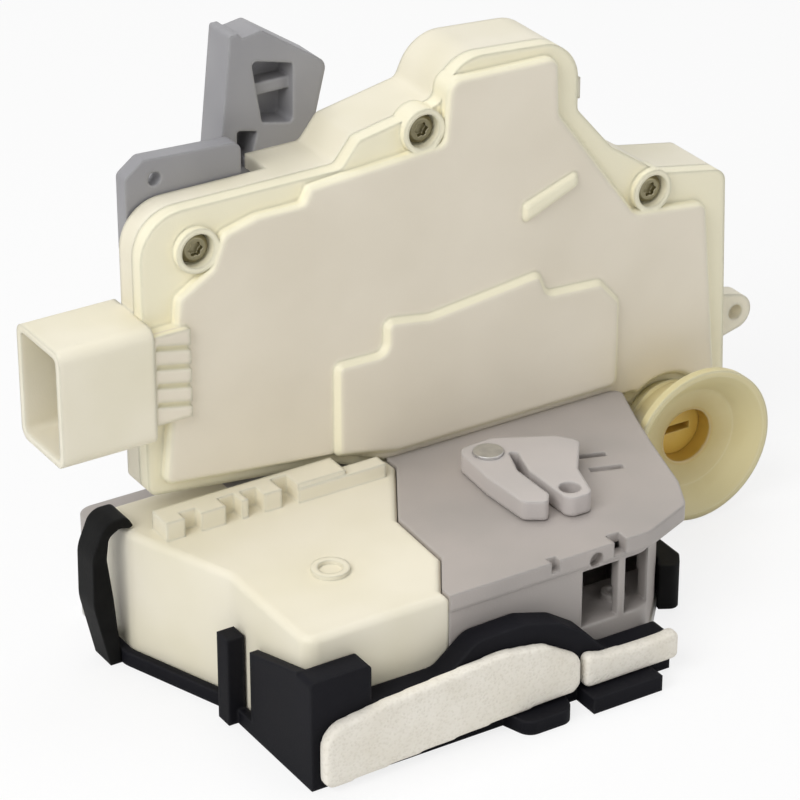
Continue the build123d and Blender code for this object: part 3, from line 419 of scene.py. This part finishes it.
# Outside release lever: a pale grey acetal arm pressed on the release shaft.
# It is moulded with a long slit and an eye for the rod of the outside handle.
LEVER_GREY, LEVER_SHADE, LEVER_PALE = (0.55, 0.51, 0.49, 1), (0.49, 0.46, 0.445, 1), (0.68, 0.65, 0.63, 1)
dress(moulded("pale grey lever", LEVER_GREY, LEVER_SHADE, LEVER_PALE), "outer_release_lever")


# Lever cover: a smooth cream lid that hides the left of the latch, over the housing.
# It is moulded with a skirt down to the faceplate and short ribs under the case.
CREAM, CREAM_SHADE, CREAM_PALE = (0.84, 0.79, 0.65, 1), (0.78, 0.73, 0.57, 1), (0.93, 0.90, 0.74, 1)
dress(moulded("cream cover plastic", CREAM, CREAM_SHADE, CREAM_PALE, grain=0.12), "lever_cover")


# Base guide: the black nylon rail along the front and left of the faceplate.
# It is moulded with a corner block, a hump and a tab, and is nearly matt.
BLACK, BLACK_SHADE, BLACK_PALE = (0.006, 0.006, 0.008, 1), (0.009, 0.009, 0.012, 1), (0.030, 0.030, 0.034, 1)
dress(moulded("black nylon", BLACK, BLACK_SHADE, BLACK_PALE, rough=0.58, gloss=0.08), "base_guide")


# Seals and bumper: a curled flap, a corner pad and the block at the inner end of the striker's mouth.
# They are black rubber, matt, with a faint bloom of dust.
RUBBER, RUBBER_DUST = (0.003, 0.003, 0.003, 1), (0.009, 0.009, 0.009, 1)
RUBBER_EDGE = (0.025, 0.025, 0.025, 1)


def rubber(name):
    finish = Finish(name)
    bloom, skin = finish.noise(160), finish.noise(1500)
    tone = finish.mix(finish.step(bloom, 0.45, 0.8), RUBBER, RUBBER_DUST)
    # The edges are painted a little lighter, a painted highlight.
    tone = finish.mix(finish.edge(0.0008) * 0.3, tone, RUBBER_EDGE)
    uneven, normal = 0.62 + (bloom - 0.5) * 0.3, finish.bump(skin, 0.3, 0.0001)
    return finish.done(Base_Color=tone, Roughness=uneven, Normal=normal, Specular_IOR_Level=0.12)


dress(rubber("black rubber"), "seal_hook", "corner_seal", "striker_bumper")


# Foam strips: two soft cream seals, die-cut from closed-cell sheet and stuck to the front of the guide.
# The cut edges crown a little, and the cells show as fine pits.
foam = Finish("cream closed-cell foam")
cells = foam.node("ShaderNodeTexVoronoi", {}, foam.place, Scale=1500)
patch = foam.noise(120)
pits = foam.step(cells, 0.1, 0.55)
FOAM_CREAM, FOAM_SHADE, FOAM_PIT_SHADE = (0.86, 0.82, 0.735, 1), (0.80, 0.755, 0.66, 1), (0.60, 0.55, 0.45, 1)
foam_tone = foam.mix(foam.step(patch, 0.35, 0.7), FOAM_CREAM, FOAM_SHADE)
# The cell pits are painted darker, a painted shade in them.
foam_tone = foam.mix((1 - pits) * 0.25, foam_tone, FOAM_PIT_SHADE)
foam_normal = foam.bump(pits + patch * 0.8, 0.5, 0.00015)
foam_material = foam.done(Base_Color=foam_tone, Roughness=0.92, Normal=foam_normal, Specular_IOR_Level=0.2)

FOAM_VOXEL, FOAM_ROUNDING, FOAM_SOFTNESS, FOAM_SWELL, SAME_POINT = 0.00045, 14, 0.6, 0.00025, 0.00001
for node in ("foam_strip_left", "foam_strip_right"):
    copy = bpy.data.objects.new(node + " copy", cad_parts[node].data.copy())
    bpy.context.collection.objects.link(copy)
    merged = bmesh.new()
    merged.from_mesh(copy.data)
    bmesh.ops.remove_doubles(merged, verts=merged.verts, dist=SAME_POINT)
    merged.to_mesh(copy.data)
    merged.free()
    remesh = copy.modifiers.new("cells", "REMESH")
    remesh.mode, remesh.voxel_size = "VOXEL", FOAM_VOXEL
    soften = copy.modifiers.new("crown", "SMOOTH")
    soften.factor, soften.iterations = FOAM_SOFTNESS, FOAM_ROUNDING
    swell = copy.modifiers.new("swell", "DISPLACE")
    swell.strength, swell.mid_level = FOAM_SWELL, 0.0
    strip = closed_mesh(node + "_pad", copy)
    strip.data.materials.clear()
    strip.data.materials.append(foam_material)
    for face in strip.data.polygons:
        face.use_smooth = True
    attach(strip, "latch_body")
    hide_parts(node)


# Actuator tray: the deep half of the case, moulded with the connector socket in the same cream plastic.
# Its edges are painted paler over a wide band, a painted highlight.
dress(moulded("cream tray plastic", CREAM, CREAM_SHADE, CREAM_PALE, edge=0.0014), "actuator_tray")


# Lead frame and connector blades: tracks stamped from brass strip inside the case.
# The eight blades in the socket are tinned.
BRASS, BRASS_DARK, BRASS_WORN = (0.72, 0.55, 0.26, 1), (0.60, 0.44, 0.20, 1), (0.85, 0.70, 0.42, 1)
TIN, TIN_DARK = (0.74, 0.73, 0.70, 1), (0.62, 0.61, 0.58, 1)
brass = steel("stamped brass", BRASS, BRASS_DARK, GRAIN_ALONG_X, worn=BRASS_WORN)
tin = steel("tinned blades", TIN, TIN_DARK, GRAIN_ALONG_X, rough=0.22)
dress(brass, "lead_frame")
dress(tin, "connector_pins")


# Motors: two drawn and nickel-plated cans that stand upright in the case.
# Each is closed at the top by a moulded end cap.
NICKEL, NICKEL_DARK = (0.66, 0.65, 0.61, 1), (0.56, 0.55, 0.52, 1)
can_steel = steel("nickel plated can", NICKEL, NICKEL_DARK, GRAIN_ALONG_Z, rough=0.22)
dress(can_steel, "lock_motor", "safe_motor")
CAP_WHITE, CAP_SHADE, CAP_PALE = (0.74, 0.73, 0.69, 1), (0.68, 0.67, 0.63, 1), (0.85, 0.84, 0.80, 1)
dress(moulded("white cap plastic", CAP_WHITE, CAP_SHADE, CAP_PALE), "lock_motor_cap", "safe_motor_cap")


# Worms: right-handed acetal screws pressed on the motor shafts, which turn the toothed wheels.
# The thread is one full helix whose crests fade at both ends.
WORM_ROOT, WORM_TIP, WORM_PITCH, WORM_LONG = 0.0021, 0.0034, 0.002244, 0.013
WORM_SIDES, WORM_RINGS, SHAFT_SIDES = 40, 72, 24
FLANK_LOW, FLANK_HIGH, THREAD_FADE = 0.72, 0.30, 0.0012
SHAFT_RADIUS, SHAFT_LONG, SHAFT_RISE = 0.001, 0.0231, 0.00315
worm_sizes = dict.fromkeys(("Root", "Tip", "Pitch", "Long"), "Float")
worm_tree, given = shape_tree("worm thread", **worm_sizes, Material="Material")
fan = {"fill_type": "TRIANGLE_FAN"}
drum = worm_tree.node(
    "GeometryNodeMeshCylinder", fan, WORM_SIDES, WORM_RINGS, 1, Radius=1.0, Depth=given["Long"]
)
spot = worm_tree.node("GeometryNodeInputPosition", {})
east, north, height = [worm_tree.node("ShaderNodeSeparateXYZ", {}, spot, out=axis) for axis in "XYZ"]
angle = north.math("ARCTAN2", north, east)
rise = height / given["Pitch"] - angle / math.tau
climb = rise.math("FRACT", rise)
from_crest = climb.math("ABSOLUTE", climb - 0.5) * 2
tooth = worm_tree.node("ShaderNodeMapRange", {"clamp": True}, from_crest, FLANK_LOW, FLANK_HIGH, 0.0, 1.0)
from_end = given["Long"] * 0.5 - height.math("ABSOLUTE", height)
fade = worm_tree.node("ShaderNodeMapRange", {"clamp": True}, from_end, 0.0, THREAD_FADE, 0.0, 1.0)
reach = given["Root"] + (given["Tip"] - given["Root"]) * tooth * fade
east_out, north_out = east * reach, north * reach
moved = worm_tree.node("ShaderNodeCombineXYZ", {}, east_out, north_out, height)
shaped = worm_tree.node("GeometryNodeSetPosition", {}, drum, Position=moved)
shaft = worm_tree.node("GeometryNodeMeshCylinder", fan, SHAFT_SIDES, Radius=SHAFT_RADIUS, Depth=SHAFT_LONG)
shaft = worm_tree.node("GeometryNodeTransform", {}, shaft, Translation=(0, 0, SHAFT_RISE))
both = worm_tree.node("GeometryNodeJoinGeometry", {}, shaped)
worm_tree.join(shaft, both.socket.node.inputs[0])
at_place = worm_tree.node("GeometryNodeInstanceOnPoints", {}, given["Geometry"], Instance=both)
shape_end(worm_tree, at_place, given["Material"])

WORMS = {"lock_worm": (0.040, 0.0375, 0.0664), "safe_worm": (0.008, 0.0375, 0.046)}
WORM_AMBER, WORM_SHADE, WORM_PALE = (0.60, 0.47, 0.24, 1), (0.52, 0.40, 0.20, 1), (0.75, 0.62, 0.38, 1)
worm_plastic = moulded("amber worm plastic", WORM_AMBER, WORM_SHADE, WORM_PALE)
for node, place in WORMS.items():
    sizes = {"Root": WORM_ROOT, "Tip": WORM_TIP, "Pitch": WORM_PITCH, "Long": WORM_LONG}
    sizes["Material"] = worm_plastic
    thread = grown(node + "_thread", [place], [], worm_tree, **sizes)
    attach(thread, node)
    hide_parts(node)


# Wheels and sliders: natural acetal wheels with 28 teeth, and two dark blue sliders behind them.
# A peg on the back of each wheel moves its slider up and down.
WHEEL_WHITE, WHEEL_SHADE, WHEEL_PALE = (0.78, 0.77, 0.72, 1), (0.72, 0.71, 0.655, 1), (0.88, 0.87, 0.83, 1)
acetal = moulded("natural acetal", WHEEL_WHITE, WHEEL_SHADE, WHEEL_PALE, rough=0.34, edge=0.0005)
dress(acetal, "lock_wheel", "safe_wheel")
SLIDER_BLUE, SLIDER_SHADE = (0.045, 0.060, 0.095, 1), (0.035, 0.047, 0.075, 1)
SLIDER_PALE = (0.12, 0.14, 0.19, 1)
slider_plastic = moulded("blue slider plastic", SLIDER_BLUE, SLIDER_SHADE, SLIDER_PALE, rough=0.36)
dress(slider_plastic, "lock_slider", "safe_slider")


# Switches: three sealed microswitches, black with a red plunger, for catch, lock and key.
# Case and plunger are separate mouldings, and the plunger slides in the case.
SWITCH_BLACK, SWITCH_SHADE = (0.022, 0.022, 0.024, 1), (0.030, 0.030, 0.033, 1)
SWITCH_PALE = (0.07, 0.07, 0.075, 1)
switch_plastic = moulded("black switch plastic", SWITCH_BLACK, SWITCH_SHADE, SWITCH_PALE)
dress(switch_plastic, "catch_switch", "lock_switch", "key_switch")
PLUNGER_RED, PLUNGER_SHADE = (0.55, 0.045, 0.030, 1), (0.46, 0.035, 0.025, 1)
PLUNGER_PALE = (0.75, 0.14, 0.10, 1)
red = moulded("red plunger plastic", PLUNGER_RED, PLUNGER_SHADE, PLUNGER_PALE, rough=0.3)
dress(red, "catch_plunger", "lock_plunger", "key_plunger")


# Actuator cover: a thin satin lid in warm beige, screwed to the tray.
# Its rim, steps and ridge are painted brighter and more yellow, painted light on the thin plastic there.
FACE_AT, PANEL_AT = 28.0, 26.3
COVER_BEIGE, COVER_SHADE = (0.80, 0.735, 0.61, 1), (0.75, 0.685, 0.56, 1)
PAINTED_RIM_LIGHT, PAINTED_EDGE_HIGHLIGHT = (0.88, 0.83, 0.63, 1), (0.96, 0.93, 0.72, 1)
lid = Finish("beige cover plastic")
depth = lid.along("Y")
slow, fine = lid.noise(42, detail=2), lid.noise(2400, detail=2)
behind_face = lid.step(depth, FACE_AT + 0.05, FACE_AT + 0.5)
past_panel = lid.step(depth, PANEL_AT + 0.1, PANEL_AT + 0.4)
on_slope = past_panel * (1 - lid.step(depth, FACE_AT - 0.25, FACE_AT - 0.05))
# Painted light: the flange behind the face and the sloped step of the panel take the brighter rim colour.
rim = (behind_face + on_slope).math("MINIMUM", behind_face + on_slope, 1.0)
lid_tone = lid.mix(lid.step(slow, 0.36, 0.66), COVER_BEIGE, COVER_SHADE)
lid_tone = lid.mix(rim, lid_tone, PAINTED_RIM_LIGHT)
# The edges are painted the pale rim colour, a painted highlight.
lid_tone = lid.mix(lid.edge(0.0016) * 0.8, lid_tone, PAINTED_EDGE_HIGHLIGHT)
lid_normal = lid.bump(fine, 0.25, 0.00012)
lid_rough = 0.44 + (slow - 0.5) * 0.14
dress(lid.done(Base_Color=lid_tone, Roughness=lid_rough, Normal=lid_normal), "actuator_cover")


# Carrier frame: the blue-grey moulding behind the case, with a tower and an ear above it.
# The tower guides the handle's cable, and a foot rests on the latch.
FRAME_GREY, FRAME_SHADE, FRAME_PALE = (0.33, 0.325, 0.335, 1), (0.28, 0.277, 0.29, 1), (0.52, 0.515, 0.52, 1)
dress(moulded("blue-grey frame plastic", FRAME_GREY, FRAME_SHADE, FRAME_PALE), "carrier_frame")


# Key funnel: a dished cream guide that leads the door's key rod to the rotor at its throat.
# The dish is painted darker and amber towards the throat and brown inside it, a painted shade of the deep
# dish.
FUNNEL_PLACE, THROAT_MM, DISH_MM = (81.0, 17.8), 6.0, 13.0
FUNNEL_CREAM, THROAT_SHADE_AMBER, THROAT_SHADE_BROWN = (0.69, 0.61, 0.34, 1), (0.45, 0.33, 0.10, 1), (0.52, 0.34, 0.06, 1)
dish = Finish("cream funnel plastic")
east, up = dish.along("X") - FUNNEL_PLACE[0], dish.along("Z") - FUNNEL_PLACE[1]
radius = dish.node("ShaderNodeMath", {"operation": "SQRT"}, east * east + up * up)
mottle, grain = dish.noise(150), dish.noise(2400, detail=2)
front = 1 - dish.step(dish.along("Y"), 26.0, 27.5)
# Painted shade deepening towards the throat: amber over the dish with a mottled edge, and brown inside the
# throat.
amber = (1 - dish.step(radius + mottle * 4, THROAT_MM + 1, DISH_MM + 2)) * front
dish_tone = dish.mix(amber * 0.8, FUNNEL_CREAM, THROAT_SHADE_AMBER)
dish_tone = dish.mix(1 - dish.step(radius, THROAT_MM, THROAT_MM + 0.8), dish_tone, THROAT_SHADE_BROWN)
# The edges are painted the pale rim colour, a painted highlight.
dish_tone = dish.mix(dish.edge(0.0012) * 0.7, dish_tone, PAINTED_EDGE_HIGHLIGHT)
dish_rough, dish_normal = 0.40 + (mottle - 0.5) * 0.1, dish.bump(grain, 0.12, 0.0001)
dress(dish.done(Base_Color=dish_tone, Roughness=dish_rough, Normal=dish_normal), "key_funnel")


# Key rotor: an amber-brown acetal barrel with a slot for the key rod.
# It turns in the throat of the funnel and carries a crank at its back end.
# Its colours are painted brighter than the plastic, painted light that lifts it out of the throat's shade.
ROTOR_BROWN, ROTOR_SHADE, ROTOR_PALE = (0.80, 0.55, 0.11, 1), (0.70, 0.47, 0.09, 1), (0.88, 0.68, 0.24, 1)
rotor_plastic = moulded("brown rotor plastic", ROTOR_BROWN, ROTOR_SHADE, ROTOR_PALE, rough=0.36, edge=0.0006)
dress(rotor_plastic, "key_rotor")
